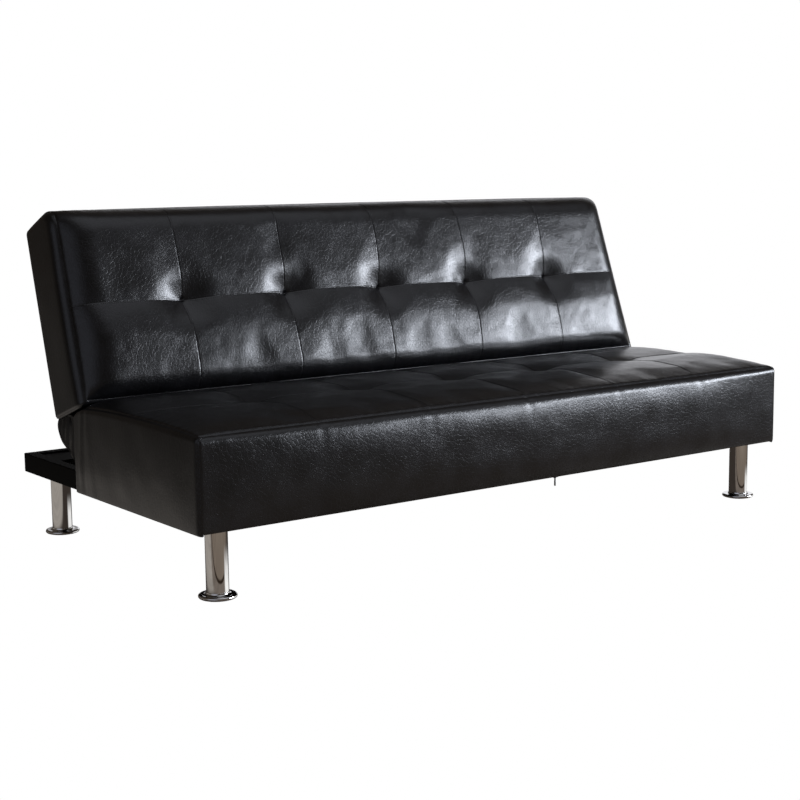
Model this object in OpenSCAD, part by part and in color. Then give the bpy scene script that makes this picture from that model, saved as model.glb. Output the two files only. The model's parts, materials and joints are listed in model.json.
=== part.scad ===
// Armless click-clack sofa bed: a quilted seat on a timber frame with chrome legs,
// and a quilted back that folds level behind the seat on two ratchet hinges.
// X runs along the sofa, the front faces -Y, Z is up, and Z = 0 is the floor.

/* [Overall] */
// Length of seat and back along X
width = 1820; // [1500:10:2000]
// Base frame from the front face to the rear rail's outer face
frame_depth = 930; // [860:5:1000]
// Sewn columns in seat and back
columns = 6; // [3:1:8]

/* [Seat] */
// Seat from its front face to its rear face
seat_depth = 605; // [560:5:660]
// Underside of the seat above the floor
seat_underside = 153; // [130:1:220]
// Seam at the top of the front face above the floor
seat_seam_z = 364; // [330:1:420]
// Rise of each seat pillow above its seams
seat_pillow_rise = 15; // [8:1:22]
// Row of seat tufts behind the front face
seat_tuft_y = 300; // [240:5:340]
// Padded side and front covers, thickness
cover_t = 10; // [8:1:16]
// Radius of the covers' outer edges
cover_edge_r = 8; // [4:1:8]

/* [Back] */
// Length of the back from its lower end to its top
back_length = 491; // [420:1:540]
// Row of back tufts above the back's lower end
back_tuft_a = 240; // [200:1:280]
// Thickness of the back at its side seams
back_t = 155; // [130:1:165]
// Angle of the back above the level at rest
back_angle = 71.5; // [65:0.5:80]
// Rise of each back pillow above its seams
back_pillow_rise = 27; // [15:1:35]
// Height of the tufted seams above the side seams
back_crown = 12; // [5:1:20]
// Rear cover sheet, thickness
rear_cover_t = 4; // [2:0.5:6]

/* [Hinges] */
// Hinge pin in front of the seat's rear face
pivot_inset = 24; // [20:1:30]
// Hinge pin above the floor
pivot_z = 327.5; // [300:0.5:360]
// Hinge pin to the back's lower end
pivot_to_end = 28.8; // [26:0.1:36]
// Hinge pin to the back's front seam plane
pivot_to_face = 41.5; // [36:0.5:48]
// Hinge plate thickness
plate_t = 4; // [3:0.5:5]
// Side play between the two plates of a hinge
plate_gap = 0.5; // [0.3:0.1:1]
// Width of the hinge plates
plate_w = 28; // [24:1:32]
// Radius of the plates' round eyes about the pin
plate_eye_r = 19; // [16:1:20]
// Length of the back plate's cranked arm beyond the pin
plate_reach = 190; // [170:5:240]
// Back plate's crank, from the pin up to where it starts
crank_start = 62; // [56:1:70]
// Offset of the cranked arm behind the pin
crank_b = 72; // [66:1:76]
// Bolt shank radius
bolt_r = 4; // [3:0.5:5]
// Hinge pin radius
pin_r = 6; // [4:0.5:8]
// Running clearance of the pin in the back plate
pin_clear = 0.05; // [0.02:0.01:0.1]
// Radius of the closed ratchet case
case_r = 21; // [18:0.5:22]
// Length of the ratchet case along the pin
case_l = 11; // [8:0.5:14]

/* [Base frame] */
// Rail height
rail_h = 48; // [30:1:60]
// Rail width
rail_w = 30; // [20:1:45]
// Frame underside above the seat underside
frame_lift = 4; // [3:0.5:8]
// Seat box board thickness
board_t = 20; // [15:1:25]
// Top of the seat box boards above the floor
board_top = 300; // [280:1:320]

/* [Legs] */
// Leg tube diameter
leg_d = 50; // [40:1:60]
// Leg tube wall
leg_wall = 1.5; // [1:0.1:3]
// Foot flange diameter
foot_d = 85; // [70:1:100]
// Foot flange rim height
foot_rim = 9; // [6:0.5:12]
// Leg axis from the end of the seat
leg_inset_x = 76; // [55:1:120]
// Front leg axis behind the front face
leg_front = 64; // [55:1:120]
// Rear leg axis in front of the rear rail's outer face
leg_rear = 70; // [60:1:230]

/* [Springs and webbing] */
// Sinuous springs under the seat
spring_count = 5; // [4:1:9]
// Spring wire diameter
wire_d = 3.6; // [3:0.1:4.5]
// Spring width
spring_w = 56; // [50:1:70]
// Distance between spring bars
spring_pitch = 38; // [28:1:44]
// Back webbing width
web_w = 60; // [40:5:80]
// Back webbing thickness
web_t = 1.5; // [1:0.1:3]

/* [Zip] */
// Length of the zip on the underside
zip_length = 900; // [400:10:1200]
// Zip slider from the middle of the sofa
zip_slider_x = 108; // [-300:1:300]
// Length of the pull tab
pull_length = 14; // [10:0.5:25]

/* [Hidden] */
$fn = 64;
front_y = -frame_depth / 2;
rear_y = frame_depth / 2;
half_w = width / 2;
core_w = half_w - cover_t;
pitch = 2 * core_w / columns;
seat_rear_y = front_y + seat_depth;
pivot_y = seat_rear_y - pivot_inset;
edge_r = pivot_inset;
frame_z = seat_underside + frame_lift;
rail_top = frame_z + rail_h;
rail_x = core_w - rail_w;
board_x = core_w - board_t;
facets = 12;
seat_front = [front_y + 5, seat_seam_z];
seat_mid = [front_y + seat_tuft_y, seat_seam_z + 6];
seat_back = [pivot_y - 41, seat_seam_z];
seat_slope = seat_back - [pivot_y, pivot_z];
seat_lean = acos(edge_r / norm(seat_slope)) + atan2(seat_slope[0], seat_slope[1]);
rear_cloth_t = 8;
mid_rail_y = seat_rear_y - rail_w - rear_cloth_t;
rear_board_y = seat_rear_y - rear_cloth_t - board_t;
// hinge stack along X, from the side board inwards
seat_plate_x = board_x - plate_t;
back_plate_x = seat_plate_x - plate_gap - plate_t;
case_x = back_plate_x - case_l;
head_t = 2.5;
slot_in = case_x - head_t - 1.5;
slot_out = board_x + head_t + 1;
// back, in its own frame: origin on the hinge pin, +Z up the back, +Y to its rear
back_lo = pivot_to_end;
back_hi = pivot_to_end + back_length;
back_mid = back_lo + back_tuft_a;
back_low_r = 20;
back_top_r = 14;
face_b = -pivot_to_face;
rear_b = back_t - pivot_to_face;
back_core_lo = back_lo + cover_t;
back_core_hi = back_hi - cover_t;
timber_b = 40;
timber_end_b = rear_b - rear_cover_t;
stile_x = back_plate_x + plate_t;
rail_t = 20;
crank_end = crank_start + plate_w - 2;
bolt_margin = 10;
back_bolts = [crank_end + 22, plate_reach - bolt_margin];
bolt_far = 118;
bolt_near = 40;
bolt_drop = 42;
knee_drop = 30;
seat_bolts = [pivot_y - bolt_far, pivot_y - bolt_near];
bolt_z = board_top - bolt_drop;
plate_knee = [pivot_y - plate_w / 2, pivot_z - knee_drop];
bolt_head_h = 3.2;
bolt_head_rim = 3.5;
// legs
leg_x = half_w - leg_inset_x;
leg_ys = [front_y + leg_front, rear_y - leg_rear];
leg_plate = 80;
block_l = 112;
block_end = 36;
leg_plate_t = 3;
leg_top = frame_z - leg_plate_t;
pad_t = 4;
screw_r = 2.4;
screw_l = 24;
screw_head_r = 4.6;
screw_head_h = 3;
// springs
spring_z = board_top + wire_d / 2;
felt_z = board_top + wire_d;
felt_t = 3;
foam_z = felt_z + felt_t;
spring_step = (2 * board_x - 160) / (spring_count - 1);
spring_from = front_y + cover_t + board_t / 2;
spring_to = rear_board_y + board_t / 2;
spring_bars = floor((spring_to - spring_from) / spring_pitch);
// zip
gusset_t = 1.6;
gusset_z = rail_top + 4.5;
tape_z = frame_z - 1.5;
zip_inset = 24;
zip_y = front_y + zip_inset;
tape_w = 22;
slider_z = tape_z - 3.6;
pull_eye_z = slider_z - 1.2;
tooth_pitch = 9;

// ---------- shared shapes ----------

// points of a circular crown over the chord from p to q, on its left
function crown(p, q, rise, n) =
    let (
        c = norm(q - p),
        r = (c * c / 4 + rise * rise) / (2 * rise),
        half = asin(c / 2 / r),
        along = (q - p) / c,
        out = [-along[1], along[0]]
    )
    [for (i = [0 : n]) let (t = half * (2 * i / n - 1))
        p + along * (c / 2 + r * sin(t)) + out * (r * cos(t) - r + rise)];

// the same without its last point, so that crowns can be chained
function crown_open(p, q, rise, n) = [for (i = [0 : n - 1]) crown(p, q, rise, n)[i]];

// points of an arc of radius r about c, angles from +X
function arc(c, r, from, to, n) =
    [for (i = [0 : n]) let (t = from + (to - from) * i / n) c + r * [cos(t), sin(t)]];

// point at t of a cubic curve from p to q, pulled towards a and b
function bezier(p, a, b, q, t) =
    p * pow(1 - t, 3) + a * 3 * t * pow(1 - t, 2) + b * 3 * t * t * (1 - t) + q * pow(t, 3);

// one crown for each column between -core_w and core_w, on the line at base
function crown_row(base, rise, n) =
    [for (i = [0 : columns - 1])
        each crown_open([-core_w + i * pitch, base], [-core_w + (i + 1) * pitch, base],
            rise, n)];

// rectangle with one radius per corner, from the lower left, anticlockwise
module soft_rect(w, h, r) {
    difference() {
        square([w, h]);
        for (k = [0 : 3])
            translate([(k == 1 || k == 2) ? w : 0, k > 1 ? h : 0])
                mirror([(k == 1 || k == 2) ? 1 : 0, 0])
                    mirror([0, k > 1 ? 1 : 0])
                        difference() {
                            translate([-1, -1])
                                square(r[k] + 1);
                            translate([r[k], r[k]])
                                circle(r = r[k]);
                        }
    }
}

// outline across the columns, from the line at floor up to their crowns above base
module quilt_plan(floor, base, rise) {
    polygon(concat([[half_w, floor], [-half_w, floor], [-half_w, base]],
        crown_row(base, rise, facets), [[core_w, base], [half_w, base]]));
}

// outline of a side cover from above, its two outer edges rounded
module cover_plan(from, to) {
    r = cover_edge_r;
    polygon(concat([[core_w - 1, from]], arc([half_w - r, from + r], r, -90, 0, 6),
        arc([half_w - r, to - r], r, 0, 90, 6), [[core_w - 1, to]]));
}

// extrudes a (Y, Z) outline along X between two positions
module along_x(from, to) {
    translate([from, 0, 0])
        rotate([90, 0, 90])
            linear_extrude(height = to - from)
                children();
}

module box(from, to) {
    translate(from)
        cube(to - from);
}

module both_sides() {
    children();
    mirror([1, 0, 0])
        children();
}

// places parts drawn in the back's own frame
module back_place() {
    translate([0, pivot_y, pivot_z])
        rotate([back_angle - 90, 0, 0])
            children();
}

module timber() {
    color([0.78, 0.63, 0.42])
        children();
}

module black_timber() {
    color([0.03, 0.03, 0.03])
        children();
}

module faux_leather() {
    color([0.045, 0.045, 0.05])
        children();
}

module chrome() {
    color([0.82, 0.82, 0.84])
        children();
}

module steel() {
    color([0.35, 0.36, 0.38])
        children();
}

// ---------- base frame ----------

// pilot holes for the screws of the four leg plates
module leg_screw_holes() {
    at_leg_screws()
        translate([0, 0, frame_z - 1])
            cylinder(r = screw_r, h = screw_l - 1);
}

module side_rail(side) {
    black_timber()
        mirror([side < 0 ? 1 : 0, 0, 0])
            difference() {
                box([rail_x, front_y + cover_t, frame_z],
                    [rail_x + rail_w, rear_y, rail_top]);
                leg_screw_holes();
            }
}

module side_rail_left() {
    side_rail(-1);
}

module side_rail_right() {
    side_rail(1);
}

module cross_rail(y) {
    black_timber()
        box([-rail_x, y, frame_z], [rail_x, y + rail_w, rail_top]);
}

module front_rail() {
    difference() {
        cross_rail(front_y + cover_t);
        leg_screw_holes();
    }
}

module rear_rail() {
    cross_rail(rear_y - rail_w);
}

module mid_rail() {
    cross_rail(mid_rail_y);
}

module centre_rail() {
    black_timber()
        box([-rail_w / 2, front_y + cover_t + rail_w, frame_z],
            [rail_w / 2, mid_rail_y, rail_top]);
}

// positions of the four screws of each leg plate
module at_leg_screws() {
    for (x = [-1, 1], y = leg_ys, i = [-1, 1], j = [-1, 1])
        translate([x * leg_x + i * (leg_plate / 2 - 9), y + j * (leg_plate / 2 - 9), 0])
            children();
}

// block in the corner of a side rail and a cross rail, its long edge cut away
module corner_block(y_wall, y_free) {
    s = sign(y_free - y_wall);
    translate([0, 0, frame_z])
        linear_extrude(height = rail_h - 4)
            polygon([[rail_x, y_wall], [rail_x, y_free], [rail_x - block_end, y_free],
                [rail_x - block_l, y_wall + s * block_end],
                [rail_x - block_l, y_wall]]);
}

module corner_blocks() {
    black_timber()
        difference() {
            both_sides() {
                corner_block(front_y + cover_t + rail_w, front_y + cover_t + rail_w + block_l);
                corner_block(rear_y - rail_w, rear_y - rail_w - block_l);
            }
            leg_screw_holes();
        }
}

// ---------- legs ----------

module leg(x, y) {
    chrome()
        translate([x, y, pad_t])
            difference() {
                cylinder(d = leg_d, h = leg_top - pad_t);
                translate([0, 0, -1])
                    cylinder(d = leg_d - 2 * leg_wall, h = leg_top - pad_t + 2);
            }
}

// pressed flange with a rolled rim and a small collar against the tube
module foot(x, y) {
    rim_r = foot_rim / 2;
    rim_c = foot_d / 2 - rim_r;
    chrome()
        translate([x, y, 0])
            rotate_extrude($fn = 96)
                difference() {
                    union() {
                        translate([rim_c, 1 + rim_r])
                            circle(r = rim_r);
                        translate([leg_d / 2, 1])
                            square([rim_c - leg_d / 2, foot_rim]);
                        translate([leg_d / 2, foot_rim])
                            square([3, 5]);
                    }
                    translate([0, 0])
                        square([rim_c - 3, 4.5]);
                    translate([leg_d / 2 + 3, foot_rim + 5])
                        circle(r = 3);
                }
}

module leg_front_left() {
    leg(-leg_x, leg_ys[0]);
}

module leg_front_right() {
    leg(leg_x, leg_ys[0]);
}

module leg_rear_left() {
    leg(-leg_x, leg_ys[1]);
}

module leg_rear_right() {
    leg(leg_x, leg_ys[1]);
}

module foot_front_left() {
    foot(-leg_x, leg_ys[0]);
}

module foot_front_right() {
    foot(leg_x, leg_ys[0]);
}

module foot_rear_left() {
    foot(-leg_x, leg_ys[1]);
}

module foot_rear_right() {
    foot(leg_x, leg_ys[1]);
}

module foot_pads() {
    color([0.06, 0.06, 0.06])
        for (x = [-leg_x, leg_x], y = leg_ys)
            translate([x, y, 0])
                cylinder(r = foot_d / 2 - foot_rim / 2 - 3.2, h = pad_t);
}

module leg_plates() {
    steel()
        difference() {
            for (x = [-leg_x, leg_x], y = leg_ys)
                translate([x - leg_plate / 2, y - leg_plate / 2, leg_top])
                    linear_extrude(height = leg_plate_t)
                        soft_rect(leg_plate, leg_plate, [8, 8, 8, 8]);
            at_leg_screws()
                translate([0, 0, leg_top - 1])
                    cylinder(r = screw_r, h = leg_plate_t + 2);
        }
}

module leg_screws() {
    steel()
        at_leg_screws() {
            translate([0, 0, leg_top])
                cylinder(r = screw_r - 0.02, h = screw_l);
            difference() {
                translate([0, 0, leg_top])
                    sphere(r = screw_head_r);
                translate([-2, -2, 0] * screw_head_r + [0, 0, leg_top])
                    cube([4, 4, 2] * screw_head_r);
                translate([-2, -2, -2] * screw_head_r + [0, 0, leg_top - screw_head_h])
                    cube([4, 4, 2] * screw_head_r);
            }
        }
}

// ---------- seat box ----------

module seat_board_front() {
    timber()
        box([-core_w, front_y + cover_t, rail_top],
            [core_w, front_y + cover_t + board_t, board_top]);
}

module seat_board_rear() {
    timber()
        box([-seat_plate_x, rear_board_y, rail_top],
            [seat_plate_x, rear_board_y + board_t, board_top]);
}

module at_seat_bolts() {
    for (y = seat_bolts)
        translate([0, y, bolt_z])
            rotate([0, 90, 0])
                children();
}

module seat_board(side) {
    timber()
        mirror([side < 0 ? 1 : 0, 0, 0])
            difference() {
                box([board_x, front_y + cover_t + board_t, rail_top],
                    [core_w, seat_rear_y - rear_cloth_t, board_top]);
                at_seat_bolts()
                    translate([0, 0, board_x - 1])
                        cylinder(r = bolt_r, h = board_t + 2);
            }
}

module seat_board_left() {
    seat_board(-1);
}

module seat_board_right() {
    seat_board(1);
}

// one flat serpentine spring lying along Y
module sinuous_spring() {
    r = spring_pitch / 2;
    bar = spring_w - 2 * r;
    for (i = [0 : spring_bars])
        translate([-bar / 2, i * spring_pitch, 0])
            rotate([0, 90, 0])
                cylinder(d = wire_d, h = bar, $fn = 16);
    for (i = [0 : spring_bars - 1])
        translate([(i % 2 == 0 ? 1 : -1) * bar / 2, (i + 0.5) * spring_pitch, 0])
            rotate([0, 0, i % 2 == 0 ? -90 : 90])
                rotate_extrude(angle = 180, $fn = 24)
                    translate([r, 0])
                        circle(d = wire_d, $fn = 16);
}

module at_springs() {
    for (i = [0 : spring_count - 1])
        translate([(i - (spring_count - 1) / 2) * spring_step, spring_from, spring_z])
            children();
}

module seat_springs() {
    color([0.55, 0.56, 0.58])
        at_springs()
            sinuous_spring();
}

module spring_clips() {
    steel()
        at_springs()
            for (y = [0, spring_bars * spring_pitch])
                translate([0, y, 0])
                    rotate([0, 90, 0])
                        translate([0, 0, -8])
                            difference() {
                                union() {
                                    cylinder(d = wire_d + 2, h = 16, $fn = 24);
                                    translate([0, -7, 0])
                                        cube([wire_d / 2, 14, 16]);
                                }
                                translate([0, 0, -1])
                                    cylinder(d = wire_d, h = 18, $fn = 24);
                                translate([wire_d / 2, -10, -1])
                                    cube([4, 20, 18]);
                                translate([-wire_d / 2 - 3, -10, -1])
                                    cube([3, 20, 18]);
                            }
}

module seat_felt() {
    color([0.30, 0.30, 0.30])
        box([-board_x + 1, front_y + cover_t + 2, felt_z],
            [board_x - 1, pivot_y - edge_r - 4, foam_z]);
}

// outline of the seat's section in (Y, Z) under a given top line
module seat_section(top) {
    polygon(concat([[seat_rear_y, seat_underside], [front_y, seat_underside],
        [front_y, seat_seam_z - 5]], top,
        arc([pivot_y, pivot_z], edge_r, 90 - seat_lean, 0, 8)));
}

// room for the hinge plates and ratchet cases in the seat's rear edge
module seat_hinge_slots() {
    both_sides()
        box([slot_in, pivot_y - edge_r - 4, board_top - 30],
            [slot_out, seat_rear_y + 30, seat_seam_z + 60]);
}

module seat_cushion() {
    faux_leather()
        difference() {
            intersection() {
                along_x(-core_w, core_w)
                    intersection() {
                        seat_section(concat(
                            crown_open(seat_front, seat_mid, seat_pillow_rise, facets),
                            crown(seat_mid, seat_back, seat_pillow_rise - 2, facets)));
                        translate([front_y + cover_t, foam_z])
                            square([seat_depth, 200]);
                    }
                translate([0, rear_y, 0])
                    rotate([90, 0, 0])
                        linear_extrude(height = frame_depth)
                            quilt_plan(0, seat_seam_z + 6, seat_pillow_rise);
            }
            seat_hinge_slots();
        }
}

module seat_front_cover() {
    faux_leather()
        along_x(-core_w, core_w)
            intersection() {
                seat_section([seat_front, seat_back]);
                translate([front_y, seat_underside])
                    square([cover_t, 300]);
            }
}

// cloth behind the rear board, cut out round the two side rails
module seat_rear_cover() {
    faux_leather()
        difference() {
            along_x(-core_w, core_w)
                translate([seat_rear_y - rear_cloth_t, seat_underside])
                    square([rear_cloth_t, foam_z - seat_underside]);
            both_sides()
                box([rail_x, seat_rear_y - rear_cloth_t - 1, frame_z],
                    [core_w + 1, seat_rear_y + 1, rail_top]);
            seat_hinge_slots();
        }
}

module seat_side_cover(side) {
    faux_leather()
        mirror([side < 0 ? 1 : 0, 0, 0])
            intersection() {
                along_x(core_w, half_w)
                    seat_section(crown(seat_front, seat_back, 11, 2 * facets));
                linear_extrude(height = seat_seam_z + 60)
                    cover_plan(front_y, seat_rear_y);
            }
}

module seat_side_cover_left() {
    seat_side_cover(-1);
}

module seat_side_cover_right() {
    seat_side_cover(1);
}

// ---------- underside ----------

module dust_cover() {
    color([0.05, 0.05, 0.05])
        difference() {
            box([-rail_x - rail_w + 2, zip_y, tape_z],
                [rail_x + rail_w - 2, seat_rear_y - 10, frame_z]);
            for (x = [-leg_x, leg_x])
                translate([x, leg_ys[0], tape_z - 1])
                    translate([-leg_plate / 2 - 2, -leg_plate / 2 - 2, 0])
                        cube([leg_plate + 4, leg_plate + 4, 4]);
        }
}

module zip_tape() {
    color([0.04, 0.04, 0.04])
        box([-zip_length / 2, zip_y - tape_w / 2 + 1, tape_z - 0.6],
            [zip_length / 2, zip_y + tape_w / 2 + 1, tape_z]);
}

// chain with interlocking teeth on both edges
module zip_teeth() {
    n = floor((zip_length - 12) / tooth_pitch);
    x0 = -n * tooth_pitch / 2;
    edge = [for (i = [0 : n - 1], k = [[0, 1.9], [0.5, 1.9], [0.5, 2.6], [1, 2.6]])
        [x0 + (i + k[0]) * tooth_pitch, k[1]]];
    color([0.05, 0.05, 0.05])
        translate([0, zip_y + 1, tape_z - 1.8])
            linear_extrude(height = 1.2)
                polygon(concat(edge,
                    [for (i = [len(edge) - 1 : -1 : 0]) [edge[i][0], -edge[i][1]]]));
}

module zip_slider() {
    color([0.40, 0.40, 0.42])
        translate([zip_slider_x, zip_y + 1, 0]) {
            difference() {
                translate([0, 0, slider_z])
                    linear_extrude(height = 2.8)
                        polygon([[-7, -3], [-3, -4.5], [7, -4.5], [7, 4.5], [-3, 4.5], [-7, 3]]);
                translate([-8, -2.8, slider_z + 1.5])
                    cube([16, 5.6, 2]);
            }
            // loop that carries the pull
            translate([0, 0, slider_z - 2.4])
                difference() {
                    translate([-4, -0.8, 0])
                        cube([8, 1.6, 2.6]);
                    translate([0, 3, 1.2])
                        rotate([90, 0, 0])
                            cylinder(r = 0.85, h = 6, $fn = 24);
                }
        }
}

// link and tab, hanging straight down from the slider's loop
module zip_pull() {
    translate([zip_slider_x, zip_y + 1, pull_eye_z]) {
        color([0.62, 0.63, 0.65]) {
            rotate([90, 0, 0])
                translate([0, 0, -1.9])
                    cylinder(r = 0.8, h = 3.8, $fn = 24);
            for (s = [-1, 1])
                translate([-0.9, s * 1.5 - 0.45, -7])
                    cube([1.8, 0.9, 7.8]);
            translate([-0.9, -1.95, -8])
                cube([1.8, 3.9, 1.6]);
        }
        color([0.04, 0.04, 0.04])
            translate([0.7, 0, -7 - pull_length])
                rotate([0, -90, 0])
                    linear_extrude(height = 1.4)
                        translate([0, -2.4])
                            soft_rect(pull_length, 4.8, [2, 0.6, 0.6, 2]);
    }
}

// ---------- gusset ----------

// slack cloth from the seat's rear face to the lower rear edge of the back
module gusset() {
    foot = [seat_rear_y + 0.4, gusset_z];
    top = [pivot_y + rear_b + 19.5, pivot_z - 12];
    slack = [for (i = [0 : 10])
        bezier(foot, foot + [8, 30], top + [3, -60], top, i / 10)];
    color([0.03, 0.03, 0.03])
        along_x(-core_w + 2, core_w - 2)
            polygon(concat(slack, [for (i = [10 : -1 : 0])
                slack[i] + gusset_t * [0.75, -1]]));
}

// ---------- hinges ----------

module strap(p, q, w) {
    translate(p)
        rotate(atan2(q[1] - p[1], q[0] - p[0]))
            translate([0, -w / 2])
                square([norm(q - p), w]);
    translate(p)
        circle(d = w);
    translate(q)
        circle(d = w);
}

module seat_plate(side) {
    b0 = [seat_bolts[0], bolt_z];
    b1 = [seat_bolts[1], bolt_z];
    pin = [pivot_y, pivot_z];
    steel()
        mirror([side < 0 ? 1 : 0, 0, 0])
            along_x(seat_plate_x, seat_plate_x + plate_t)
                difference() {
                    union() {
                        strap(b0, b1, plate_w);
                        strap(b1, plate_knee, plate_w);
                        strap(plate_knee, pin, plate_w);
                        translate(pin)
                            circle(r = plate_eye_r);
                    }
                    translate(pin)
                        circle(r = pin_r + 0.02);
                    translate(b0)
                        circle(r = bolt_r);
                    translate(b1)
                        circle(r = bolt_r);
                }
}

module seat_plate_left() {
    seat_plate(-1);
}

module seat_plate_right() {
    seat_plate(1);
}

module hinge_pin(side) {
    steel()
        mirror([side < 0 ? 1 : 0, 0, 0])
            translate([0, pivot_y, pivot_z])
                rotate([0, 90, 0]) {
                    translate([0, 0, case_x - 0.3])
                        cylinder(r = pin_r, h = board_x + 0.3 - case_x);
                    translate([0, 0, board_x])
                        cylinder(r1 = pin_r + 4, r2 = pin_r + 2.5, h = head_t);
                    translate([0, 0, case_x - 0.3 - head_t])
                        cylinder(r1 = pin_r + 1.5, r2 = pin_r + 3, h = head_t);
                }
}

module hinge_pin_left() {
    hinge_pin(-1);
}

module hinge_pin_right() {
    hinge_pin(1);
}

// cranked plate: straight out through the lower end, then back to the stile
module back_plate(side) {
    steel()
        mirror([side < 0 ? 1 : 0, 0, 0])
            back_place()
                along_x(back_plate_x, back_plate_x + plate_t)
                    difference() {
                        union() {
                            circle(r = plate_eye_r);
                            strap([0, 0], [0, crank_start], plate_w);
                            strap([0, crank_start], [crank_b, crank_end], plate_w);
                            strap([crank_b, crank_end], [crank_b, plate_reach], plate_w);
                        }
                        circle(r = pin_r + pin_clear);
                        for (a = back_bolts)
                            translate([crank_b, a])
                                circle(r = bolt_r);
                    }
}

module back_plate_left() {
    back_plate(-1);
}

module back_plate_right() {
    back_plate(1);
}

// closed case round the ratchet, with a stepped and ribbed cover
module ratchet_case(side) {
    steel()
        mirror([side < 0 ? 1 : 0, 0, 0])
            translate([0, pivot_y, pivot_z])
                rotate([0, 90, 0])
                    difference() {
                        union() {
                            translate([0, 0, case_x + 3])
                                cylinder(r = case_r, h = case_l - 3);
                            translate([0, 0, case_x])
                                cylinder(r = case_r - 4, h = case_l);
                            for (k = [0 : 5])
                                rotate(k * 60)
                                    translate([case_r - 5, -1.5, case_x + 1.2])
                                        cube([4.4, 3, 3]);
                        }
                        translate([0, 0, case_x - 1])
                            cylinder(r = pin_r + pin_clear, h = case_l + 2);
                    }
}

module ratchet_case_left() {
    ratchet_case(-1);
}

module ratchet_case_right() {
    ratchet_case(1);
}

// pan-head bolt along +X with its washer face at x = 0
module bolt(length) {
    cylinder(r = bolt_r - 0.02, h = length);
    translate([0, 0, -bolt_head_h])
        cylinder(r1 = bolt_r + bolt_head_rim - 2, r2 = bolt_r + bolt_head_rim, h = bolt_head_h);
}

module hinge_bolts_seat() {
    steel()
        both_sides()
            at_seat_bolts()
                translate([0, 0, seat_plate_x])
                    bolt(plate_t + board_t);
}

module hinge_bolts_back() {
    steel()
        both_sides()
            back_place()
                for (a = back_bolts)
                    translate([back_plate_x, crank_b, a])
                        rotate([0, 90, 0])
                            bolt(plate_t + core_w - stile_x);
}

// ---------- back ----------

module back_section() {
    translate([face_b, back_lo])
        soft_rect(back_t, back_length, [back_low_r, 8, 5, back_top_r]);
}

// section in (Y, Z) with both rows of pillows proud of the side seams
module back_quilt_section() {
    low = [face_b, back_lo + back_low_r];
    mid = [face_b - back_crown, back_mid];
    top = [face_b, back_hi - back_top_r];
    polygon(concat([[rear_b, back_lo]],
        arc(low + [back_low_r, 0], back_low_r, 270, 190, 6),
        crown_open(low, mid, back_pillow_rise, facets),
        crown(mid, top, back_pillow_rise, facets),
        arc(top + [back_top_r, 0], back_top_r, 170, 90, 5),
        [[rear_b, back_hi]]));
}

module back_hinge_slots() {
    both_sides()
        box([slot_in, -26, back_lo - 1], [stile_x, timber_b + 56, back_lo + 80]);
}

module back_cushion() {
    faux_leather()
        back_place()
            difference() {
                intersection() {
                    along_x(-core_w, core_w)
                        intersection() {
                            back_quilt_section();
                            translate([face_b - 100, back_core_lo])
                                square([timber_b - web_t - face_b + 100,
                                    back_core_hi - back_core_lo]);
                        }
                    translate([0, 0, back_core_lo - 1])
                        linear_extrude(height = back_core_hi - back_core_lo + 2)
                            mirror([0, 1])
                                quilt_plan(-timber_b, back_crown - face_b, back_pillow_rise);
                }
                back_hinge_slots();
            }
}

module back_board(from, to) {
    timber()
        back_place()
            box(from, to);
}

module back_top_rail() {
    back_board([-stile_x, timber_b, back_core_hi - rail_t],
        [stile_x, timber_end_b, back_core_hi]);
}

module back_bottom_rail() {
    timber()
        back_place()
            difference() {
                box([-stile_x, timber_b, back_core_lo],
                    [stile_x, timber_end_b, back_core_lo + rail_t]);
                back_hinge_slots();
            }
}

module back_stile(side) {
    timber()
        mirror([side < 0 ? 1 : 0, 0, 0])
            back_place()
                difference() {
                    box([stile_x, timber_b, back_core_lo],
                        [core_w, timber_end_b, back_core_hi]);
                    for (a = back_bolts)
                        translate([stile_x - 1, crank_b, a])
                            rotate([0, 90, 0])
                                cylinder(r = bolt_r, h = core_w - stile_x + 2);
                }
}

module back_stile_left() {
    back_stile(-1);
}

module back_stile_right() {
    back_stile(1);
}

module back_mid_stiles() {
    for (x = [-pitch, pitch])
        back_board([x - rail_t / 2, timber_b, back_core_lo + rail_t],
            [x + rail_t / 2, timber_end_b, back_core_hi - rail_t]);
}

module back_webbing() {
    color([0.16, 0.16, 0.17])
        back_place()
            for (i = [0 : columns - 1])
                translate([(i - (columns - 1) / 2) * pitch, 0, 0])
                    translate([-web_w / 2, timber_b - web_t, back_core_lo])
                        cube([web_w, web_t, back_core_hi - back_core_lo]);
}

module back_top_cover() {
    faux_leather()
        back_place()
            along_x(-core_w, core_w)
                intersection() {
                    back_section();
                    translate([face_b, back_core_hi])
                        square([back_t, cover_t]);
                }
}

module back_bottom_cover() {
    faux_leather()
        back_place()
            difference() {
                along_x(-core_w, core_w)
                    intersection() {
                        back_section();
                        translate([face_b, back_lo])
                            square([back_t, cover_t]);
                    }
                back_hinge_slots();
            }
}

module back_side_cover(side) {
    faux_leather()
        mirror([side < 0 ? 1 : 0, 0, 0])
            back_place()
                intersection() {
                    along_x(core_w, half_w)
                        back_section();
                    linear_extrude(height = back_hi + 10)
                        cover_plan(face_b, rear_b);
                }
}

module back_side_cover_left() {
    back_side_cover(-1);
}

module back_side_cover_right() {
    back_side_cover(1);
}

module back_rear_cover() {
    color([0.05, 0.05, 0.05])
        back_place()
            box([-core_w, timber_end_b, back_core_lo], [core_w, rear_b, back_core_hi]);
}

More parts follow.
